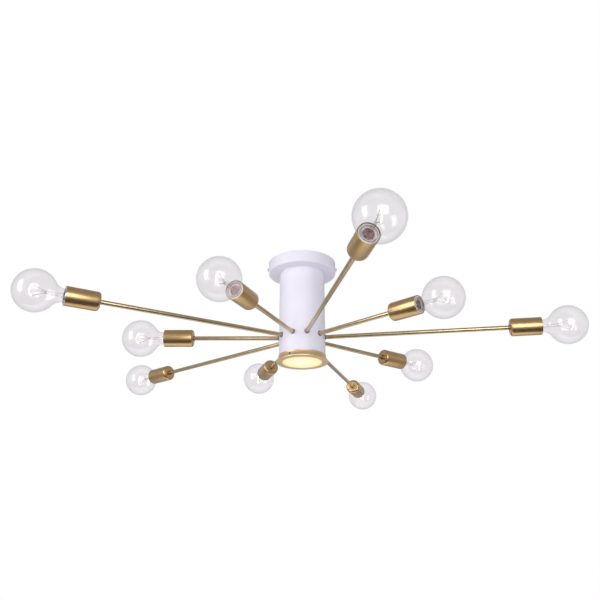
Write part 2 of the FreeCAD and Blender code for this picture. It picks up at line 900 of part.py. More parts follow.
for thing in doc.Objects:
    if {"Invalid", "Error"} & set(thing.State):
        raise RuntimeError(f"{thing.Label} failed: {thing.State}")

os.makedirs("parts", exist_ok=True)
for name, node in nodes.items():
    shape = node.Shape
    if shape.isNull() or not shape.isValid() or not shape.Solids:
        raise RuntimeError(f"{name} has no valid solid")
    shape.exportStep(os.path.join("parts", f"{name}.step"))
    print(f"{name}: {len(shape.Solids)} solid(s), {shape.Volume / 1000:.2f} cm3")
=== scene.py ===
# %% [markdown]
# # A ceiling chandelier with ten arms
#
# A white canopy and hub tube hang from the ceiling, and ten brass arms spread level from the hub,
# long and short in turn.  Each arm ends in a brass cup with a clear globe bulb.  The exact shapes come
# from CAD and stay where they are.  This lesson gives them their finish, and builds again, in finer
# detail, the pieces whose look matters most.
#
# Everything is in metres, +Z up.  The CAD's origin is in the plane of the ceiling.

# %% Load the fixed frame
import json
import math

import bmesh
import bpy
from mathutils import Matrix, Vector


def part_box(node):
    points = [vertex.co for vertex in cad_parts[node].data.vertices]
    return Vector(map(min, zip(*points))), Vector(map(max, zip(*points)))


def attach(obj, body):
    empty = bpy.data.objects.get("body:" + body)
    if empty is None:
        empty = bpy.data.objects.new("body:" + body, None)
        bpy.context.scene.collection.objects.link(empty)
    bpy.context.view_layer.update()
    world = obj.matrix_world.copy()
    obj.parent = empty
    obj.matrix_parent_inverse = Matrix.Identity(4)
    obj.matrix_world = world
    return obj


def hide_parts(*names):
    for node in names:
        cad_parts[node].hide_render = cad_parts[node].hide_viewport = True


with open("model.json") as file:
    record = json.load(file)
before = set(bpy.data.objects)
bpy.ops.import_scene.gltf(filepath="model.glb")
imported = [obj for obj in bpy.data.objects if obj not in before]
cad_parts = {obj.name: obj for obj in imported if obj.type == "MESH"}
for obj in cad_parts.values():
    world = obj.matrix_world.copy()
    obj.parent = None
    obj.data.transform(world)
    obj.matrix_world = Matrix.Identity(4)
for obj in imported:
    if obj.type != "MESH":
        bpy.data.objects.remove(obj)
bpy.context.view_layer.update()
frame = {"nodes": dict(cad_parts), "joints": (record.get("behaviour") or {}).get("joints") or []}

MM = 0.001

# %% [markdown]
# ## Where things are
#
# Positions are measured from the frame, so they can't drift from the CAD.  A bulb screws in and out
# along its arm, so its joint already knows two useful things: the arm's direction, and the place of
# the tip of the bulb's cap when it is screwed home.

# %% Measure the hub, and find the ten arms from the bulbs' joints
def tall(node):
    """The lowest and highest point of a CAD node, in millimetres."""
    low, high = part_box(node)
    return low.z / MM, high.z / MM


def wide(node):
    """How far a round CAD node on the hub's axis reaches from it, in millimetres."""
    low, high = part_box(node)
    return (high.y - low.y) / 2 / MM


turns = {j["child"]: j for j in frame["joints"] if j["type"] == "hinge"}
ARMS = []
for number in range(1, 11):
    joint = turns[f"bulb_{number:02d}"]
    tip, along = Vector(joint["pos_m"]), Vector(joint["axis"])
    ARMS.append((number, tip, along.normalized()))
canopy_low, canopy_top = tall("canopy")
tube_low, tube_top = tall("hub_tube")
tube_radius = wide("hub_tube")
ring_low, ring_top = tall("trim_ring")
print("tube radius", round(tube_radius, 2), "from", round(tube_low, 1), "to", round(tube_top, 1))
print("bulb tips out at", sorted({round(tip.xy.length / MM) for _, tip, _ in ARMS}))

# %% [markdown]
# ## A lathe
#
# Nearly every piece of this fixture is round: spun, drawn, turned or blown.  One helper draws half of a
# cross-section and spins it.  Steps of two numbers draw a line to (across, up), and steps of four swing
# the pencil about a centre: (across, up, degrees, segments).  The corners that need rounding get real
# arcs this way, so highlights run along the edges as they do on metal.

# %% The lathe
def outline(steps):
    """Edges in the XZ plane, in millimetres."""
    bm = bmesh.new()
    pencil = bm.verts.new((steps[0][0], 0, steps[0][1]))
    for step in steps[1:]:
        if len(step) == 2:
            pencil = bmesh.ops.extrude_vert_indiv(bm, verts=[pencil])["verts"][0]
            pencil.co = (step[0], 0, step[1])
            continue
        across, up, degrees, segments = step
        swung = bmesh.ops.spin(
            bm, geom=[pencil], cent=(across, 0, up), axis=(0, -1, 0),
            angle=math.radians(degrees), steps=segments,
        )
        pencil = next(g for g in swung["geom_last"] if isinstance(g, bmesh.types.BMVert))
    bmesh.ops.remove_doubles(bm, verts=bm.verts, dist=1e-4)
    return bm


def turned(steps, sides=64):
    """A closed round shape about Z, in millimetres."""
    bm = outline(steps)
    bmesh.ops.spin(
        bm, geom=bm.verts[:] + bm.edges[:], cent=(0, 0, 0), axis=(0, 0, 1),
        angle=math.tau, steps=sides, use_merge=True,
    )
    bmesh.ops.remove_doubles(bm, verts=bm.verts, dist=1e-4)
    bmesh.ops.recalc_face_normals(bm, faces=bm.faces)
    return bm


# %% [markdown]
# ## Putting a piece in its place
#
# A finished piece keeps its place in its mesh, and its object stays at the origin, so that patterns and
# joints can't slide.  Before the mesh is moved, every point's place on the lathe is kept in an attribute
# called `own`.  Brushed metal reads it, because brushing follows the lathe and not the room.

# %% Move, shade and name a piece
LEVEL = Matrix.Identity(4)


def towards(along, start):
    """The placement that lays the lathe's axis along an arm, with the lathe's zero at start."""
    up = Vector((0, 0, 1))
    side = along.cross(up)
    place = Matrix((up, side, along)).transposed().to_4x4()
    place.translation = start
    return place


def piece(name, bm, finish, body, slot, *stands_for, place=LEVEL, sharp=32):
    """Make the object: own attribute, real place, smooth faces with sharp edges, and body; slot is not
    used.
    """
    own = bm.verts.layers.float_vector.new("own")
    for vert in bm.verts:
        vert[own] = vert.co * MM
    bmesh.ops.scale(bm, vec=(MM, MM, MM), verts=bm.verts)
    bmesh.ops.transform(bm, matrix=place, verts=bm.verts)
    for face in bm.faces:
        face.smooth = True
    mesh = bpy.data.meshes.new(name)
    bm.to_mesh(mesh)
    bm.free()
    mesh.set_sharp_from_angle(angle=math.radians(sharp))
    mesh.materials.append(finish)
    made = bpy.data.objects.new(name, mesh)
    bpy.context.scene.collection.objects.link(made)
    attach(made, body)
    if stands_for:
        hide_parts(*stands_for)
    return made


# %% [markdown]
# ## Small helpers for finishes
#
# A finish is a few nodes on the Principled shader: noise that shifts the colour a little, noise that
# roughens it, and noise that lifts it.  The scale of each noise is the size of the thing it copies, so
# powder coat gets its half-millimetre orange peel and brushed brass its long scratches.

# %% Finish helpers
def new_finish(name):
    """A material with its Principled shader, and its tree."""
    finish = bpy.data.materials.new(name)
    finish.use_nodes = True
    tree = finish.node_tree
    return finish, tree, tree.nodes["Principled BSDF"]


def spot(tree, name="own", stretch=(1, 1, 1)):
    """Where a point is on its piece, stretched: "object" for the room's own axes."""
    mapping = tree.nodes.new("ShaderNodeMapping")
    mapping.inputs["Scale"].default_value = stretch
    if name == "object":
        source = tree.nodes.new("ShaderNodeTexCoord").outputs["Object"]
    else:
        attribute = tree.nodes.new("ShaderNodeAttribute")
        attribute.attribute_name = name
        source = attribute.outputs["Vector"]
    tree.links.new(source, mapping.inputs["Vector"])
    return mapping.outputs["Vector"]


def noise(tree, where, scale, detail=3.0, roughness=0.55):
    """Soft random values between 0 and 1."""
    node = tree.nodes.new("ShaderNodeTexNoise")
    node.inputs["Scale"].default_value = scale
    node.inputs["Detail"].default_value = detail
    node.inputs["Roughness"].default_value = roughness
    tree.links.new(where, node.inputs["Vector"])
    return node.outputs["Fac"]


def ramp(tree, value, *stops):
    """Colours by value: pairs of (value, colour)."""
    node = tree.nodes.new("ShaderNodeValToRGB")
    marks = node.color_ramp.elements
    while len(marks) < len(stops):
        marks.new(0.5)
    for mark, (at, colour) in zip(marks, stops):
        mark.position = at
        mark.color = (*colour, 1)
    tree.links.new(value, node.inputs["Fac"])
    return node.outputs["Color"]


def between(tree, value, low, high):
    """The value's middle range spread from low to high."""
    node = tree.nodes.new("ShaderNodeMapRange")
    node.inputs["From Min"].default_value = 0.3
    node.inputs["From Max"].default_value = 0.7
    node.inputs["To Min"].default_value = low
    node.inputs["To Max"].default_value = high
    tree.links.new(value, node.inputs["Value"])
    return node.outputs["Result"]


def lifted(tree, shader, height, strength, distance):
    """Bump by height, as deep as distance in metres."""
    node = tree.nodes.new("ShaderNodeBump")
    node.inputs["Strength"].default_value = strength
    node.inputs["Distance"].default_value = distance
    tree.links.new(height, node.inputs["Height"])
    tree.links.new(node.outputs["Normal"], shader.inputs["Normal"])


# %% [markdown]
# ## White powder coat
#
# The canopy and hub are steel with a satin white powder coat, very slightly lilac.  Baked powder has a
# fine orange peel, which breaks up the edge of every reflection.  Large soft noise keeps so big a pale
# surface from looking like paper.

# %% Powder coat
def make_powder_coat():
    finish, tree, shader = new_finish("white_powder_coat")
    where = spot(tree, "object")
    broad = noise(tree, where, 14, 2)
    peel = noise(tree, where, 900, 2)
    tint = ramp(tree, broad, (0.3, (0.755, 0.735, 0.83)), (0.7, (0.79, 0.775, 0.865)))
    tree.links.new(tint, shader.inputs["Base Color"])
    tree.links.new(between(tree, peel, 0.42, 0.55), shader.inputs["Roughness"])
    shader.inputs["Specular IOR Level"].default_value = 0.4
    lifted(tree, shader, peel, 0.25, 0.0002)
    return finish


powder_coat = make_powder_coat()
print("made", powder_coat.name)

# %% [markdown]
# ## Satin brass
#
# Cups, arms and ring are brass, brushed and lacquered.  The cups were brushed while they spun, so their
# scratches run round them; the arms were drawn through a polishing belt, so theirs run lengthwise.  The
# same recipe makes all of them, each with its own stretch of noise, colours and roughness.  The arms'
# greyer colours are painted reflection, and the ring's far paler ones painted light.  Large noise tones
# the lacquer.

# %% Brushed brass, round or lengthwise
def make_brass(name, stretch, deep, pale, rough=(0.27, 0.36)):
    finish, tree, shader = new_finish(name)
    scratches = noise(tree, spot(tree, "own", stretch), 1, 3, 0.6)
    lacquer = noise(tree, spot(tree, "own"), 55, 2)
    tone = tree.nodes.new("ShaderNodeMix")
    tone.data_type = "RGBA"
    tone.inputs["Factor"].default_value = 0.35
    tree.links.new(ramp(tree, lacquer, (0.3, deep), (0.7, pale)), tone.inputs["A"])
    tree.links.new(ramp(tree, scratches, (0.35, deep), (0.65, pale)), tone.inputs["B"])
    tree.links.new(tone.outputs["Result"], shader.inputs["Base Color"])
    tree.links.new(between(tree, scratches, *rough), shader.inputs["Roughness"])
    shader.inputs["Metallic"].default_value = 1.0
    shader.inputs["Coat Weight"].default_value = 0.6
    shader.inputs["Coat Roughness"].default_value = 0.3
    lifted(tree, shader, scratches, 0.10, 0.00005)
    return finish


BRASS_DEEP, BRASS_PALE = (0.57, 0.365, 0.15), (0.66, 0.445, 0.20)
cup_brass = make_brass("cup_brass", (90, 90, 7000), BRASS_DEEP, BRASS_PALE)
# Arm colours greyer and paler than the cups': painted reflection, for the pale grey the arms mirror
# edge-on.
arm_brass_painted_reflection = make_brass("arm_brass_painted_reflection", (1500, 1500, 4), (0.52, 0.39, 0.21), (0.62, 0.48, 0.275), (0.25, 0.31))
# Ring colours much paler than the cups': painted light, for the brighter light the ring catches.
ring_brass_painted_light = make_brass("ring_brass_painted_light", (60, 60, 5000), (0.84, 0.62, 0.33), (0.92, 0.71, 0.41), (0.42, 0.52))
# Collar colours dark: painted shade, for the shadow in the gap where each arm enters hub and cup.
collar_bronze_painted_shade = make_brass(
    "collar_bronze_painted_shade", (200, 200, 6000), (0.20, 0.16, 0.12), (0.34, 0.28, 0.21), (0.35, 0.5)
)
print("made", [finish.name for finish in (cup_brass, arm_brass_painted_reflection, ring_brass_painted_light, collar_bronze_painted_shade)])

# %% [markdown]
# ## Clear glass
#
# Thin blown glass hardly bends what lies behind it: it dims it a little, more so towards the outline,
# where the wall is seen edge-on, and it mirrors the lamps.  So a see-through shader and a mirror are
# mixed by how far the wall turns away, which is quick and clean to render.  A faint wave in the wall
# stops the reflections from being perfect.

# %% Clear glass
def make_glass(name, middle, edge, wave=0.06):
    finish = bpy.data.materials.new(name)
    finish.use_nodes = True
    tree = finish.node_tree
    tree.nodes.remove(tree.nodes["Principled BSDF"])
    ripple = noise(tree, spot(tree, "own"), 60, 1)
    bump = tree.nodes.new("ShaderNodeBump")
    bump.inputs["Strength"].default_value = wave
    bump.inputs["Distance"].default_value = 0.002
    tree.links.new(ripple, bump.inputs["Height"])
    facing = tree.nodes.new("ShaderNodeLayerWeight")
    facing.inputs["Blend"].default_value = 0.5
    through = tree.nodes.new("ShaderNodeBsdfTransparent")
    tree.links.new(
        ramp(tree, facing.outputs["Facing"], (0.35, middle), (1.0, edge)), through.inputs["Color"]
    )
    mirror = tree.nodes.new("ShaderNodeBsdfGlossy")
    mirror.inputs["Color"].default_value = (0.98, 0.98, 1.0, 1)
    mirror.inputs["Roughness"].default_value = 0.17
    tree.links.new(bump.outputs["Normal"], mirror.inputs["Normal"])
    share = ramp(
        tree, facing.outputs["Facing"],
        (0.0, (0.04,) * 3), (0.55, (0.06,) * 3), (0.85, (0.12,) * 3), (1.0, (0.34,) * 3),
    )
    both = tree.nodes.new("ShaderNodeMixShader")
    tree.links.new(share, both.inputs["Fac"])
    tree.links.new(through.outputs["BSDF"], both.inputs[1])
    tree.links.new(mirror.outputs["BSDF"], both.inputs[2])
    tree.links.new(both.outputs["Shader"], tree.nodes["Material Output"].inputs["Surface"])
    return finish


globe_glass = make_glass("globe_glass", (0.968, 0.960, 0.967), (0.935, 0.935, 0.94), 0.015)
stem_glass = make_glass("stem_glass", (0.95, 0.94, 0.95), (0.72, 0.70, 0.72), 0.2)
print("made", globe_glass.name, "and", stem_glass.name)

# %% [markdown]
# ## Plated, moulded and soldered parts
#
# The rest is small: nickel caps and shells, zinc-plated nuts, moulded holders, solder, black and green
# screws, wire insulation.  Each has its own colour and its own kind of unevenness, from one recipe.

# %% Plain finishes with grain
def make_plain(name, deep, pale, rough, metal=0.0, grain=400, lift=0.08, stretch=(1, 1, 1), where="object"):
    finish, tree, shader = new_finish(name)
    speck = noise(tree, spot(tree, where, stretch), grain, 3)
    tree.links.new(ramp(tree, speck, (0.3, deep), (0.7, pale)), shader.inputs["Base Color"])
    tree.links.new(between(tree, speck, *rough), shader.inputs["Roughness"])
    shader.inputs["Metallic"].default_value = metal
    lifted(tree, shader, speck, lift, 0.0002)
    return finish


nickel = make_plain(
    "cap_nickel", (0.70, 0.67, 0.64), (0.84, 0.82, 0.79), (0.25, 0.38), 1.0, 250, 0.05, where="own"
)
zinc = make_plain("zinc_plating", (0.50, 0.51, 0.53), (0.66, 0.66, 0.67), (0.32, 0.5), 1.0, 500)
screw_nickel = make_plain("screw_nickel", (0.52, 0.52, 0.54), (0.64, 0.64, 0.66), (0.25, 0.4), 1.0, 600)
solder = make_plain(
    "solder", (0.42, 0.42, 0.43), (0.60, 0.60, 0.60), (0.35, 0.55), 1.0, 900, 0.3, where="own"
)
holder_white = make_plain(
    "holder_white", (0.80, 0.78, 0.74), (0.88, 0.87, 0.83), (0.4, 0.6), 0.0, 500, 0.05, where="own"
)
insulator_black = make_plain(
    "insulator_black", (0.015, 0.012, 0.018), (0.05, 0.035, 0.05), (0.15, 0.3), 0.0, 300, where="own"
)
contact_brass = make_plain(
    "contact_brass", (0.60, 0.42, 0.18), (0.70, 0.53, 0.26), (0.25, 0.4), 1.0, 500, where="own"
)
screw_black = make_plain("screw_black", (0.02, 0.02, 0.02), (0.06, 0.055, 0.05), (0.4, 0.55), 0.3, 800)
screw_green = make_plain("screw_green", (0.02, 0.16, 0.04), (0.05, 0.26, 0.08), (0.35, 0.5), 0.2, 600)
tray_aluminium = make_plain("tray_aluminium", (0.60, 0.60, 0.61), (0.74, 0.74, 0.75), (0.3, 0.5), 1.0, 300)
board_white = make_plain("board_white", (0.80, 0.80, 0.78), (0.90, 0.90, 0.88), (0.35, 0.5), 0.0, 350)
wire_cover = make_plain("wire_cover", (0.70, 0.69, 0.65), (0.80, 0.79, 0.75), (0.4, 0.55), 0.0, 300)
support_wire = make_plain("support_wire", (0.45, 0.40, 0.35), (0.60, 0.56, 0.50), (0.25, 0.4), 1.0, 900)

# %% [markdown]
# ## Cement
#
# The cement that holds a cap to its glass is nearly white at the edge.  Towards the middle it is dark
# brown, in blotches.

# %% Cement, nearly white at the edge and dark brown in the middle
def make_cement(radius):
    finish, tree, shader = new_finish("base_cement")
    flat = tree.nodes.new("ShaderNodeVectorMath")
    flat.operation = "LENGTH"
    tree.links.new(spot(tree, "own", (1 / radius, 1 / radius, 0)), flat.inputs[0])
    edge = ramp(tree, flat.outputs["Value"], (0.70, (0, 0, 0)), (0.80, (1, 1, 1)))
    blotch = noise(tree, spot(tree, "own"), 280, 3)
    # Near-black to brown blotches for the cement's middle.
    dark_blotches = ramp(
        tree, blotch,
        (0.40, (0.03, 0.006, 0.003)), (0.52, (0.27, 0.075, 0.04)), (0.64, (0.62, 0.34, 0.25)),
    )
    both = tree.nodes.new("ShaderNodeMix")
    both.data_type = "RGBA"
    both.inputs["B"].default_value = (0.86, 0.84, 0.83, 1)
    tree.links.new(edge, both.inputs["Factor"])
    tree.links.new(dark_blotches, both.inputs["A"])
    tree.links.new(both.outputs["Result"], shader.inputs["Base Color"])
    tree.links.new(between(tree, blotch, 0.7, 0.9), shader.inputs["Roughness"])
    lifted(tree, shader, blotch, 0.4, 0.0003)
    return finish


CEMENT_RADIUS = 12.9
base_cement = make_cement(CEMENT_RADIUS * MM)
print("made", base_cement.name)

# %% [markdown]
# ## Things that glow
#
# Two things shine: the diffuser at the hub's foot, lit by a ring of small lamps, so it is whitest in the
# middle and yellower to its rim, and the hot filaments.  Both glow through the Principled shader's
# emission, so that they keep a surface too.

# %% The lit diffuser and the filament
def make_diffuser_finish(radius):
    finish, tree, shader = new_finish("lit_opal")
    where = tree.nodes.new("ShaderNodeTexCoord").outputs["Object"]
    flat = tree.nodes.new("ShaderNodeVectorMath")
    flat.operation = "MULTIPLY"
    flat.inputs[1].default_value = (1 / radius, 1 / radius, 0)
    tree.links.new(where, flat.inputs[0])
    length = tree.nodes.new("ShaderNodeVectorMath")
    length.operation = "LENGTH"
    tree.links.new(flat.outputs["Vector"], length.inputs[0])
    glow = ramp(
        tree, length.outputs["Value"],
        (0.0, (0.94, 0.96, 0.70)), (0.45, (0.96, 0.93, 0.60)),
        (0.85, (0.98, 0.82, 0.40)), (1.0, (0.80, 0.60, 0.26)),
    )
    tree.links.new(glow, shader.inputs["Emission Color"])
    shader.inputs["Emission Strength"].default_value = 0.92
    haze = noise(tree, spot(tree, "object"), 500, 2)
    opal = ramp(tree, haze, (0.3, (0.10, 0.09, 0.07)), (0.7, (0.13, 0.12, 0.09)))
    tree.links.new(opal, shader.inputs["Base Color"])
    tree.links.new(between(tree, haze, 0.35, 0.5), shader.inputs["Roughness"])
    return finish


def make_hot_wire():
    finish, tree, shader = new_finish("hot_filament")
    heat = noise(tree, spot(tree, "own"), 260, 1)
    glow = ramp(tree, heat, (0.3, (1.0, 0.62, 0.30)), (0.7, (1.0, 0.80, 0.52)))
    tree.links.new(glow, shader.inputs["Emission Color"])
    shader.inputs["Emission Strength"].default_value = 4.0
    shader.inputs["Base Color"].default_value = (0.3, 0.25, 0.2, 1)
    return finish


hot_wire = make_hot_wire()
lit_opal = make_diffuser_finish(wide("diffuser") * MM)
print("made", hot_wire.name, "and", lit_opal.name)

# %% [markdown]
# ## Canopy and hub tube
#
# The canopy is a shallow spun cup, open to the ceiling, with a rounded lower edge.  The hub tube is plain
# steel tube, closed on top by a plate.  Both are thin walls with two sides, because the fixture is seen
# from above too.  The two screw holes in the canopy are covered by the screws' heads.

# %% Canopy and hub tube
CANOPY_WALL, CANOPY_EDGE, TUBE_WALL, NIPPLE_HOLE = 1.2, 3.0, 1.2, 5.05
canopy_radius = wide("canopy")
canopy = turned([
    (NIPPLE_HOLE, canopy_low), (canopy_radius - CANOPY_EDGE, canopy_low),
    (canopy_radius - CANOPY_EDGE, canopy_low + CANOPY_EDGE, 90, 8),
    (canopy_radius, canopy_top - 0.4), (canopy_radius - 0.4, canopy_top - 0.4, 90, 3),
    (canopy_radius - CANOPY_WALL, canopy_top), (canopy_radius - CANOPY_WALL, canopy_low + CANOPY_EDGE),
    (canopy_radius - CANOPY_EDGE, canopy_low + CANOPY_EDGE, -90, 6),
    (NIPPLE_HOLE, canopy_low + CANOPY_WALL), (NIPPLE_HOLE, canopy_low),
], sides=128)
piece("canopy_shell", canopy, powder_coat, "fixture", "white_paint", "canopy")

tube = turned([
    (tube_radius - 0.4, tube_low), (tube_radius - 0.4, tube_low + 0.4, 90, 3),
    (tube_radius, tube_top), (tube_radius - TUBE_WALL, tube_top),
    (tube_radius - TUBE_WALL, tube_low), (tube_radius - 0.4, tube_low),
], sides=128)
piece("hub_tube_shell", tube, powder_coat, "fixture", "white_paint", "hub_tube")
print("canopy radius", round(canopy_radius, 2), "tube from", round(tube_low, 1), "to", round(tube_top, 1))

# %% [markdown]
# ## Drilling
#
# Cross holes are the one thing a lathe can't make.  A drill is a plain bar laid across the wall; the
# Boolean modifier takes it away, and its result is kept as the piece's own mesh.

# %% A drill for cross holes
def drill_through(target, azimuths, height, radius, start, end):
    """Holes towards the hub's axis at one height, in millimetres."""
    bm = bmesh.new()
    for azimuth in azimuths:
        lie = Matrix.Rotation(math.radians(azimuth), 4, "Z") @ Matrix.Translation(
            ((start + end) / 2 * MM, 0, height * MM)) @ Matrix.Rotation(math.radians(90), 4, "Y")
        bmesh.ops.create_cone(
            bm, cap_ends=True, segments=32, radius1=radius * MM, radius2=radius * MM,
            depth=(end - start) * MM, matrix=lie,
        )
    mesh = bpy.data.meshes.new("drill")
    bm.to_mesh(mesh)
    bm.free()
    drill = bpy.data.objects.new("drill", mesh)
    bpy.context.scene.collection.objects.link(drill)
    cutting = target.modifiers.new("drilled", "BOOLEAN")
    cutting.object, cutting.operation, cutting.solver = drill, "DIFFERENCE", "EXACT"
    bpy.context.view_layer.update()
    graph = bpy.context.evaluated_depsgraph_get()
    drilled = bpy.data.meshes.new_from_object(target.evaluated_get(graph))
    target.modifiers.remove(cutting)
    target.data = drilled
    bpy.data.objects.remove(drill)


# %% [markdown]
# ## Trim ring
#
# The ring at the hub's foot grips the tube with a thin lip, flares out like a trumpet and turns in under
# the tube as a flat flange that holds the diffuser up.  The flare is one arc, as in the CAD, and its
# outer edges are softened so that they catch the light as a thin line.

# %% Trim ring
RING_TOP_RADIUS, RING_LIP, RING_FLANGE, RING_OPENING, RING_INSIDE = 51.0, 1.6, 2.0, 42.6, 50.2
ring_radius = wide("trim_ring")
rise = (ring_top - ring_low) - RING_LIP
spread = ring_radius - RING_TOP_RADIUS
flare = (rise ** 2 + spread ** 2) / (2 * spread)
sweep = math.degrees(math.asin(rise / flare))
ring = turned([
    (RING_TOP_RADIUS, ring_top), (RING_TOP_RADIUS + flare, ring_top, sweep, 14),
    (ring_radius, ring_low + 0.6), (ring_radius - 0.6, ring_low + 0.6, -90, 4),
    (RING_OPENING + 0.4, ring_low), (RING_OPENING + 0.4, ring_low + 0.4, -90, 3),
    (RING_OPENING, ring_low + RING_FLANGE), (RING_INSIDE, ring_low + RING_FLANGE),
    (RING_INSIDE, ring_top), (RING_TOP_RADIUS, ring_top),
], sides=144)
ring_piece = piece("trim_ring_brass", ring, ring_brass_painted_light, "fixture", "satin_brass", "trim_ring")
drill_through(ring_piece, (0, 120, 240), (ring_low + ring_top) / 2, 2.05, tube_radius - 4, ring_radius + 6)
print("ring flare radius", round(flare, 2), "over", round(sweep, 1), "degrees")

# %% [markdown]
# ## Diffuser
#
# An opal disc lies on the ring's flange, with a thin lip around it.  Its lower face is very slightly
# crowned, as a moulded disc is, so the disc isn't a dead flat circle in the light.

# %% Diffuser
DIFFUSER_RADIUS, DIFFUSER_LIP = 42.5, 1.999
diffuser_low, diffuser_top = tall("diffuser")
diffuser_edge = wide("diffuser")
disc = turned([
    (0, diffuser_low + 0.25), (DIFFUSER_RADIUS * 0.5, diffuser_low + 0.18),
    (DIFFUSER_RADIUS - 0.6, diffuser_low + 0.02), (DIFFUSER_RADIUS, diffuser_low + 0.5),
    (DIFFUSER_RADIUS, diffuser_low + DIFFUSER_LIP), (diffuser_edge, diffuser_low + DIFFUSER_LIP),
    (diffuser_edge, diffuser_top), (0, diffuser_top),
], sides=96)
piece("diffuser_disc", disc, lit_opal, "fixture", "opal_diffuser", "diffuser")

# %% [markdown]
# ## Arms and their collars
#
# An arm is drawn brass tube, and a thin collar hides its hole at the hub and at the cup.  The collar's
# dark colour is painted shade, for the shadow in the gap around the arm.  The lathe's zero is the bulb's
# tip, the one point that the frame gives for every arm, so all the pieces of an arm are measured from
# there.

# %% Arms and collars
ARM_RADIUS, ARM_BORE, COLLAR_RADIUS, COLLAR_WIDTH = 4.5, 3.0, 5.8, 1.6
CUP_BACK, CUP_MOUTH, ARM_IN_HUB, ARM_IN_CUP = -37.0, 26.0, 12.0, 12.0
SOFT = 0.35


def tube_steps(inner, outer, low, high, soft=SOFT):
    """The outline of a tube with softened outer edges."""
    return [
        (inner, low), (outer - soft, low), (outer - soft, low + soft, 90, 3),
        (outer, high - soft), (outer - soft, high - soft, 90, 3), (inner, high), (inner, low),
    ]


for number, tip, along in ARMS:
    place = towards(along, tip)
    out = tip.xy.length / MM
    hub = tube_radius - out
    arm = turned(tube_steps(ARM_BORE, ARM_RADIUS, hub - ARM_IN_HUB, CUP_BACK + ARM_IN_CUP), sides=40)
    piece(
        f"arm_tube_{number:02d}", arm, arm_brass_painted_reflection, "fixture", "satin_brass",
        f"arm_{number:02d}", place=place,
    )
    for end, low in (("hub", hub), ("cup", CUP_BACK - COLLAR_WIDTH)):
        collar = turned(tube_steps(ARM_RADIUS + 0.05, COLLAR_RADIUS, low, low + COLLAR_WIDTH), sides=40)
        piece(
            f"collar_{end}_{number:02d}", collar, collar_bronze_painted_shade, "fixture", "bronzed_collar",
            "arm_collars", place=place,
        )
print("arms and collars made")

# %% [markdown]
# ## Socket cups
#
# A cup is drawn from brass sheet: a flat back, a generously rounded shoulder, a straight wall and a mouth
# whose edge is turned smooth.  The shoulder makes the bright crescent on each cup's back.

# %% Socket cups
CUP_RADIUS, CUP_WALL, CUP_EDGE = 18.5, 1.0, 5.5
for number, tip, along in ARMS:
    cup = turned([
        (ARM_RADIUS + 0.05, CUP_BACK), (CUP_RADIUS - CUP_EDGE, CUP_BACK),
        (CUP_RADIUS - CUP_EDGE, CUP_BACK + CUP_EDGE, 90, 10),
        (CUP_RADIUS, CUP_MOUTH - 0.4), (CUP_RADIUS - 0.4, CUP_MOUTH - 0.4, 90, 3),
        (CUP_RADIUS - CUP_WALL, CUP_MOUTH), (CUP_RADIUS - CUP_WALL, CUP_BACK + CUP_EDGE),
        (CUP_RADIUS - CUP_EDGE, CUP_BACK + CUP_EDGE, -90, 8),
        (ARM_RADIUS + 0.05, CUP_BACK + CUP_WALL), (ARM_RADIUS + 0.05, CUP_BACK),
    ], sides=72)
    piece(
        f"socket_cup_{number:02d}", cup, cup_brass, "fixture", "satin_brass",
        "socket_cups", place=towards(along, tip),
    )
print("cups made")

# %% [markdown]
# ## Lampholders, screw shells and contacts
#
# In each cup sits a white moulded holder; its rim is the pale ring around the bulb's neck.  Inside it a
# nickel shell carries a rolled thread, and a sprung brass contact waits for the bulb's tip.  The thread
# is made on the lathe first as a plain wall of many thin rows; then each point moves in or out by its
# height and its angle together, which is just what a screw thread is.

# %% Lampholder, shell and contact
PITCH = 3.629


def threaded(bm, low, high, depth, inside=None, outside=None):
    """Roll a thread into the wall between two heights: points move inwards by up to depth."""
    for vert in bm.verts:
        radius = vert.co.xy.length
        if not low < vert.co.z < high or radius < (inside or 0) or radius > (outside or 1e9):
            continue
        angle = math.atan2(vert.co.y, vert.co.x)
        wave = 0.5 - 0.5 * math.cos(math.tau * vert.co.z / PITCH - angle)
        fade = min(1, (vert.co.z - low) / PITCH, (high - vert.co.z) / PITCH)
        vert.co.xy *= 1 - depth * wave * fade / radius
    bmesh.ops.recalc_face_normals(bm, faces=bm.faces)


def wall(radius, low, high, rows):
    """A straight wall drawn as many short steps, so that it can be shaped."""
    return [(radius, low + (high - low) * row / rows) for row in range(rows + 1)]


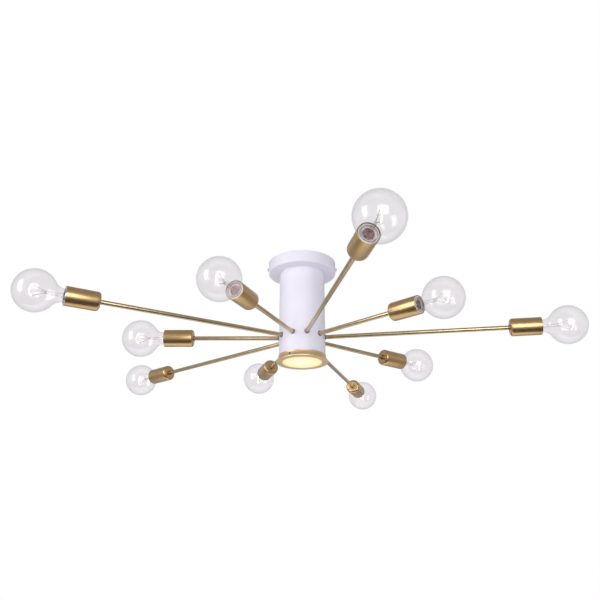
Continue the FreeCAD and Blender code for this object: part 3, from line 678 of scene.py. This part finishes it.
HOLDER_RADIUS, HOLDER_MOUTH, HOLDER_BORE, SHELL_INSIDE = 17.0, 14.3, 13.85, 13.4
HOLDER_FRONT, HOLDER_FLOOR = CUP_MOUTH - 0.6, CUP_BACK + 30
SHELL_TOP = HOLDER_FLOOR + 27
for number, tip, along in ARMS:
    place = towards(along, tip)
    holder = turned([
        (3.0, HOLDER_FLOOR), (HOLDER_BORE, HOLDER_FLOOR), (HOLDER_BORE, HOLDER_FRONT - 4.5),
        (HOLDER_MOUTH, HOLDER_FRONT - 4.5), (HOLDER_MOUTH, HOLDER_FRONT - 0.5),
        (HOLDER_MOUTH + 0.5, HOLDER_FRONT - 0.5, -90, 3), (HOLDER_RADIUS - 0.8, HOLDER_FRONT),
        (HOLDER_RADIUS - 0.8, HOLDER_FRONT - 0.8, -90, 4), (HOLDER_RADIUS, CUP_BACK + 8),
        (HOLDER_RADIUS - 3, CUP_BACK + 5), (ARM_RADIUS + 0.05, CUP_BACK + 5),
        (ARM_RADIUS + 0.05, CUP_BACK + 12.6),
        (3.0, CUP_BACK + 12.6), (3.0, HOLDER_FLOOR),
    ], sides=64)
    piece(
        f"lampholder_{number:02d}", holder, holder_white, "fixture",
        "white_holder", "lampholders", place=place,
    )
    shell = turned(
        wall(SHELL_INSIDE, HOLDER_FLOOR + 0.4, SHELL_TOP, 48)
        + wall(SHELL_INSIDE + 0.4, SHELL_TOP, HOLDER_FLOOR, 2)
        + [(8.0, HOLDER_FLOOR), (8.0, HOLDER_FLOOR + 0.4), (SHELL_INSIDE, HOLDER_FLOOR + 0.4)],
        sides=40,
    )
    threaded(shell, HOLDER_FLOOR + 2, SHELL_TOP - 1, 0.18, inside=13.3, outside=13.5)
    piece(
        f"screw_shell_{number:02d}", shell, nickel, "fixture",
        "nickel_shell", "screw_shells", place=place,
    )
    contact = turned([
        (0, HOLDER_FLOOR - 4), (2.95, HOLDER_FLOOR - 4), (2.95, HOLDER_FLOOR), (6.5, HOLDER_FLOOR),
        (6.5, HOLDER_FLOOR + 0.4), (3.4, HOLDER_FLOOR + 5.2), (2.2, HOLDER_FLOOR + 5.9), (0, -0.3),
    ], sides=32)
    piece(
        f"centre_contact_{number:02d}", contact, contact_brass, "fixture",
        "contact_brass", "socket_contacts", place=place,
    )
print("holders, shells and contacts made")

# %% [markdown]
# ## Globes
#
# A globe is blown glass: a sphere that flows into a straight neck through one hollow curve.  The CAD's
# numbers fix the sphere and the neck, and the hollow curve is the only arc that touches both.  The wall
# has two sides, and the foot is sealed inside the cap around the stem.

# %% Globes
GLOBE, LENGTH, NECK, WALL, CAP_END, FOOT = 40.0, 118.0, 13.05, 0.9, 27.0, 24.0
centre_up = LENGTH - GLOBE
drop = centre_up - CAP_END
flow = (NECK ** 2 + drop ** 2 - GLOBE ** 2) / (2 * (GLOBE - NECK))
lean = math.degrees(math.atan2(drop, NECK + flow))
print("neck flows with radius", round(flow, 2), "through", round(lean, 1), "degrees")

for number, tip, along in ARMS:
    glass = turned([
        (0, FOOT), (NECK, FOOT), (NECK, CAP_END), (NECK + flow, CAP_END, -lean, 10),
        (0, centre_up, lean + 90, 26), (0, LENGTH - WALL), (0, centre_up, -(lean + 90), 26),
        (NECK + flow, CAP_END, lean, 10), (NECK - WALL, FOOT + WALL), (0, FOOT + WALL),
    ], sides=64)
    piece(
        f"globe_{number:02d}", glass, globe_glass, f"bulb_{number:02d}", "clear_glass",
        f"bulb_glass_{number:02d}", place=towards(along, tip), sharp=60,
    )

# %% [markdown]
# ## Caps
#
# The cap is thin nickel-plated metal with a rolled thread, a skirt that grips the glass, a black glass
# insulator at its foot and a blob of solder as its tip contact.  A ring of pale cement holds it to the
# glass; seen through the neck, it is the light ring around the dark inside of the cap.

# %% Screw caps, insulators and tips
CAP_RADIUS, CAP_SKIRT, CEMENT_LOW = 13.1, 13.6, 17.5
for number, tip, along in ARMS:
    place = towards(along, tip)
    cap = turned(
        wall(CAP_RADIUS, 6.4, 23.0, 42)
        + [(CAP_SKIRT, 23.6), (CAP_SKIRT, CAP_END - 0.3), (CAP_SKIRT - 0.3, CAP_END - 0.3, 90, 2)]
        + [(NECK + 0.05, CAP_END), (NECK + 0.05, FOOT), (CAP_RADIUS - 1.5, 22.5), (CAP_RADIUS - 1.5, 8)]
        + [(CAP_RADIUS - 2.6, 6.2), (CAP_RADIUS - 2.0, 5.2), (CAP_RADIUS, 6.4)],
        sides=48,
    )
    threaded(cap, 6.0, 23.2, 0.9, inside=13.0, outside=13.2)
    piece(
        f"screw_cap_{number:02d}", cap, nickel, f"bulb_{number:02d}",
        "nickel_shell", f"bulb_cap_{number:02d}", place=place,
    )
    cement = turned([
        (0, CEMENT_LOW), (CAP_RADIUS - 1.6, CEMENT_LOW), (CAP_RADIUS - 1.6, 22.3),
        (CEMENT_RADIUS, FOOT - 0.15), (0, FOOT - 0.15),
    ], sides=48)
    piece(f"base_cement_{number:02d}", cement, base_cement, f"bulb_{number:02d}", None, place=place)
    insulator = turned([
        (2.05, 1.9), (5.0, 1.9), (8.0, 3.1), (11.0, 5.2), (10.4, 6.2), (2.05, 6.2), (2.05, 1.9),
    ], sides=40)
    piece(
        f"cap_insulator_{number:02d}", insulator, insulator_black, f"bulb_{number:02d}",
        None, f"bulb_cap_{number:02d}", place=place,
    )
    button = turned([
        (0, 0), (1.8, 0.1), (3.2, 0.45), (4.0, 1.0), (4.2, 1.6), (2.0, 1.6), (2.0, 4.8), (0, 4.8),
    ], sides=32)
    piece(
        f"tip_contact_{number:02d}", button, solder, f"tip_{number:02d}",
        "solder", f"bulb_contact_{number:02d}", place=place,
    )
print("caps made")

# %% [markdown]
# ## Stem, leads and filament
#
# Inside the globe a glass stem rises from the sealed foot.  Two lead wires come out of its pinched top
# and hold the ends of a coiled tungsten filament, and two thin supports hold its middle.  The coil is a
# helix bent into a shallow arch: a small ring is swept along it, and each copy of the ring is turned to
# face along the path.

# %% A wire swept along a path
def wire(bm, path, radius, sides=6):
    """Sweep a small ring along a path of points, closed at both ends."""
    last = None
    for index, point in enumerate(path):
        ahead = path[min(index + 1, len(path) - 1)] - path[max(index - 1, 0)]
        turn = ahead.to_track_quat("Z", "Y").to_matrix().to_4x4()
        turn.translation = point
        closed = index in (0, len(path) - 1)
        made = bmesh.ops.create_circle(bm, segments=sides, radius=radius, cap_ends=closed, matrix=turn)
        edges = list({edge for vert in made["verts"] for edge in vert.link_edges})
        if last:
            bmesh.ops.bridge_loops(bm, edges=last + edges)
        last = edges


# %% Stem, leads, supports and filament
STEM_LOW, STEM_PRESS = FOOT + WALL, 60.0
COIL_UP, COIL_HALF, COIL_RISE = 82.0, 11.0, 6.0
LEAD = ((2.0, 57.0), (2.2, 62.0), (5.5, 70.0), (COIL_HALF, COIL_UP))
SUPPORT = ((0.8, 0, 58.0), (0.8, 2.0, 68.0), (5.0, 0.6, 87.2))


def filament_path(turns_in_coil, coil, points):
    """A helix along an arch from one lead to the other."""
    path = []
    for step in range(points + 1):
        share = step / points
        across = COIL_HALF * math.cos(math.pi * (1 - share))
        arch = Vector((across, 0, COIL_UP + COIL_RISE * math.sin(math.pi * share)))
        spin = math.tau * turns_in_coil * share
        swing = coil * math.cos(spin) * 0.6
        path.append(arch + Vector((swing, coil * math.sin(spin), swing)))
    return path


for number, tip, along in ARMS:
    place = towards(along, tip)
    body = f"bulb_{number:02d}"
    stem = turned([
        (0, STEM_LOW), (8.5, STEM_LOW), (5.2, STEM_LOW + 3.5), (3.6, STEM_LOW + 9), (3.1, 48), (3.3, 54),
        (3.6, 57), (3.0, STEM_PRESS), (0, STEM_PRESS + 0.8),
    ], sides=32)
    bmesh.ops.scale(stem, vec=(1, 0.55, 1), verts=[v for v in stem.verts if v.co.z > 50])
    piece(f"stem_{number:02d}", stem, stem_glass, body, "clear_glass", place=place, sharp=60)
    leads = bmesh.new()
    for side in (-1, 1):
        wire(leads, [Vector((side * x, 0, z)) for x, z in LEAD], 0.45)
        wire(leads, [Vector((side * x, side * y, z)) for x, y, z in SUPPORT], 0.18)
    piece(f"lead_wires_{number:02d}", leads, support_wire, body, "nickel_shell", place=place)
    coil = bmesh.new()
    wire(coil, filament_path(24, 0.9, 240), 0.26, 5)
    piece(f"filament_{number:02d}", coil, hot_wire, body, None, place=place)
print("stems and filaments made")

# %% [markdown]
# ## The rest of the fixture
#
# Bracket, nuts, plate, tray, board, screws and wiring sit inside, and show from above or not at all.  The
# CAD's shapes are right for them, so they stay, each with its own finish in place of the plain colour.

# %% Finishes for the CAD pieces that stay
stays = {
    "mounting_bracket": zinc, "nipple": zinc, "nipple_nuts": zinc, "lock_nuts": zinc,
    "ground_screw": screw_green, "canopy_screws": screw_nickel, "trim_screws": screw_black,
    "hub_top_plate": powder_coat, "led_tray": tray_aluminium, "led_board": board_white,
    "wiring": wire_cover,
}
for node, finish in stays.items():
    mesh = frame["nodes"][node].data
    mesh.materials.clear()
    mesh.materials.append(finish)
print("finished", len(stays), "CAD pieces")

# %% [markdown]
# ## Studio
#
# The fixture hangs in a white studio over a pale floor, well below it.  A tall soft box at the left is
# the main light, a second one behind the camera gives the brass its bright bands, and the room between
# them is darker, because brass only looks like brass when it has something dark to mirror.
#
# The floor is an ordinary pale surface for light and for reflections.  To the eye it has one even
# pale tone instead, so that clear glass stays visible in front of it from above.

# %% Floor
floor_bm = bmesh.new()
bmesh.ops.create_circle(floor_bm, cap_ends=True, segments=96, radius=14)
bmesh.ops.translate(floor_bm, vec=(0, 0, -2.3), verts=floor_bm.verts)
floor_mesh = bpy.data.meshes.new("studio_floor")
floor_bm.to_mesh(floor_mesh)
floor_bm.free()
floor_finish = make_plain("studio_floor", (0.80, 0.80, 0.81), (0.84, 0.84, 0.85), (0.7, 0.85), 0.0, 3, 0.02)
tree = floor_finish.node_tree
shader = tree.nodes["Principled BSDF"]
flat = tree.nodes.new("ShaderNodeEmission")
tree.links.new(shader.inputs["Base Color"].links[0].from_socket, flat.inputs["Color"])
seen = tree.nodes.new("ShaderNodeMixShader")
tree.links.new(tree.nodes.new("ShaderNodeLightPath").outputs["Is Camera Ray"], seen.inputs["Fac"])
tree.links.new(shader.outputs["BSDF"], seen.inputs[1])
tree.links.new(flat.outputs["Emission"], seen.inputs[2])
tree.links.new(seen.outputs["Shader"], tree.nodes["Material Output"].inputs["Surface"])
floor_mesh.materials.append(floor_finish)
studio_floor = bpy.data.objects.new("studio_floor", floor_mesh)
bpy.context.scene.collection.objects.link(studio_floor)

# %% [markdown]
# ## A black card
#
# In a studio a dark card lies where shiny metal would otherwise mirror nothing but white.  Here it lies
# in front of the fixture and below it, and only reflections can see it.

# %% The card
card_bm = bmesh.new()
bmesh.ops.create_grid(card_bm, x_segments=1, y_segments=1, size=1.0)
bmesh.ops.scale(card_bm, vec=(2.2, 0.85, 1), verts=card_bm.verts)
bmesh.ops.translate(card_bm, vec=(0, -0.85, -1.35), verts=card_bm.verts)
card_mesh = bpy.data.meshes.new("dark_card")
card_bm.to_mesh(card_mesh)
card_bm.free()
card_black = make_plain("card_black", (0.02, 0.02, 0.02), (0.03, 0.03, 0.03), (0.8, 0.9), 0.0, 5)
card_mesh.materials.append(card_black)
dark_card = bpy.data.objects.new("dark_card", card_mesh)
bpy.context.scene.collection.objects.link(dark_card)
dark_card.visible_camera = dark_card.visible_diffuse = dark_card.visible_shadow = False
dark_card.visible_transmission = dark_card.visible_volume_scatter = False

# %% [markdown]
# ## The room and its lamps
#
# The world is a room without walls.  The eye sees plain white, and light and reflections get a room
# that is darkest below and palest a little above the level of the arms, as a studio is.

# %% The room around it
def make_room():
    """White straight ahead for the eye, and a banded grey room for light and reflections."""
    world = bpy.data.worlds.new("studio_room")
    bpy.context.scene.world = world
    world.use_nodes = True
    tree = world.node_tree
    tree.nodes.clear()
    where = tree.nodes.new("ShaderNodeTexCoord").outputs["Generated"]
    split = tree.nodes.new("ShaderNodeSeparateXYZ")
    tree.links.new(where, split.inputs["Vector"])
    height = tree.nodes.new("ShaderNodeMapRange")
    height.inputs["From Min"].default_value = -1.0
    height.inputs["From Max"].default_value = 1.0
    tree.links.new(split.outputs["Z"], height.inputs["Value"])
    shade = ramp(
        tree, height.outputs["Result"],
        (0.0, (0.26, 0.25, 0.25)), (0.30, (0.24, 0.23, 0.23)), (0.46, (0.46, 0.45, 0.46)),
        (0.58, (0.60, 0.59, 0.61)), (0.75, (0.42, 0.41, 0.43)), (1.0, (0.36, 0.35, 0.37)),
    )
    room = tree.nodes.new("ShaderNodeBackground")
    tree.links.new(shade, room.inputs["Color"])
    room.inputs["Strength"].default_value = 1.0
    white = tree.nodes.new("ShaderNodeBackground")
    white.inputs["Color"].default_value = (1, 1, 1, 1)
    white.inputs["Strength"].default_value = 1.0
    rays = tree.nodes.new("ShaderNodeLightPath")
    both = tree.nodes.new("ShaderNodeMixShader")
    tree.links.new(rays.outputs["Is Camera Ray"], both.inputs["Fac"])
    tree.links.new(room.outputs["Background"], both.inputs[1])
    tree.links.new(white.outputs["Background"], both.inputs[2])
    out = tree.nodes.new("ShaderNodeOutputWorld")
    tree.links.new(both.outputs["Shader"], out.inputs["Surface"])


make_room()
print("room made")

# %% [markdown]
# ## Soft boxes
#
# An area lamp is a soft box: the larger it is, the softer its shadows and the wider its reflection.
# The left one models the white tube, the front one draws the bright band along each brass cup, and the
# one over the floor only lights the floor, so that its light comes back up to the fixture.

# %% The lamps
def soft_box(name, place, aim, width, height, power, colour=(1, 1, 1)):
    """A rectangular lamp at place, facing aim."""
    lamp = bpy.data.lights.new(name, "AREA")
    lamp.shape = "RECTANGLE"
    lamp.size, lamp.size_y = width, height
    lamp.energy = power
    lamp.color = colour
    holder = bpy.data.objects.new(name, lamp)
    holder.location = place
    holder.rotation_mode = "QUATERNION"
    holder.rotation_quaternion = (Vector(aim) - Vector(place)).to_track_quat("-Z", "Y")
    bpy.context.scene.collection.objects.link(holder)
    return holder


MIDDLE = (0, 0, -0.17)
soft_box("left_box", (-2.4, -1.6, 0.1), MIDDLE, 1.1, 2.0, 32)
soft_box("front_box", (0.4, -2.9, -0.22), MIDDLE, 1.9, 1.6, 38)
floor_box = soft_box("floor_box", (0, 0, -1.1), (0, 0, -3), 4.0, 4.0, 60)
floor_box.visible_glossy = floor_box.visible_camera = False
print("lamps:", [thing.name for thing in bpy.data.lights])

# %% [markdown]
# ## Camera
#
# The fixture is seen from a standing eye: a little under the arms and looking up, so that the lit
# diffuser and the undersides of the arms show.

# %% Camera and colour
lens = bpy.data.cameras.new("eye")
lens.lens = 39.7
lens.sensor_width = 36
lens.clip_start, lens.clip_end = 0.01, 100
eye = bpy.data.objects.new("eye", lens)
eye.location = (0, -1.362, -0.634)
eye.rotation_euler = (math.radians(90 + 21.9), 0, math.radians(0.2))
bpy.context.scene.collection.objects.link(eye)
bpy.context.scene.camera = eye
bpy.context.scene.view_settings.view_transform = "Standard"
bpy.context.scene.cycles.transparent_max_bounces = 48
print("eye at", [round(value, 3) for value in eye.location])
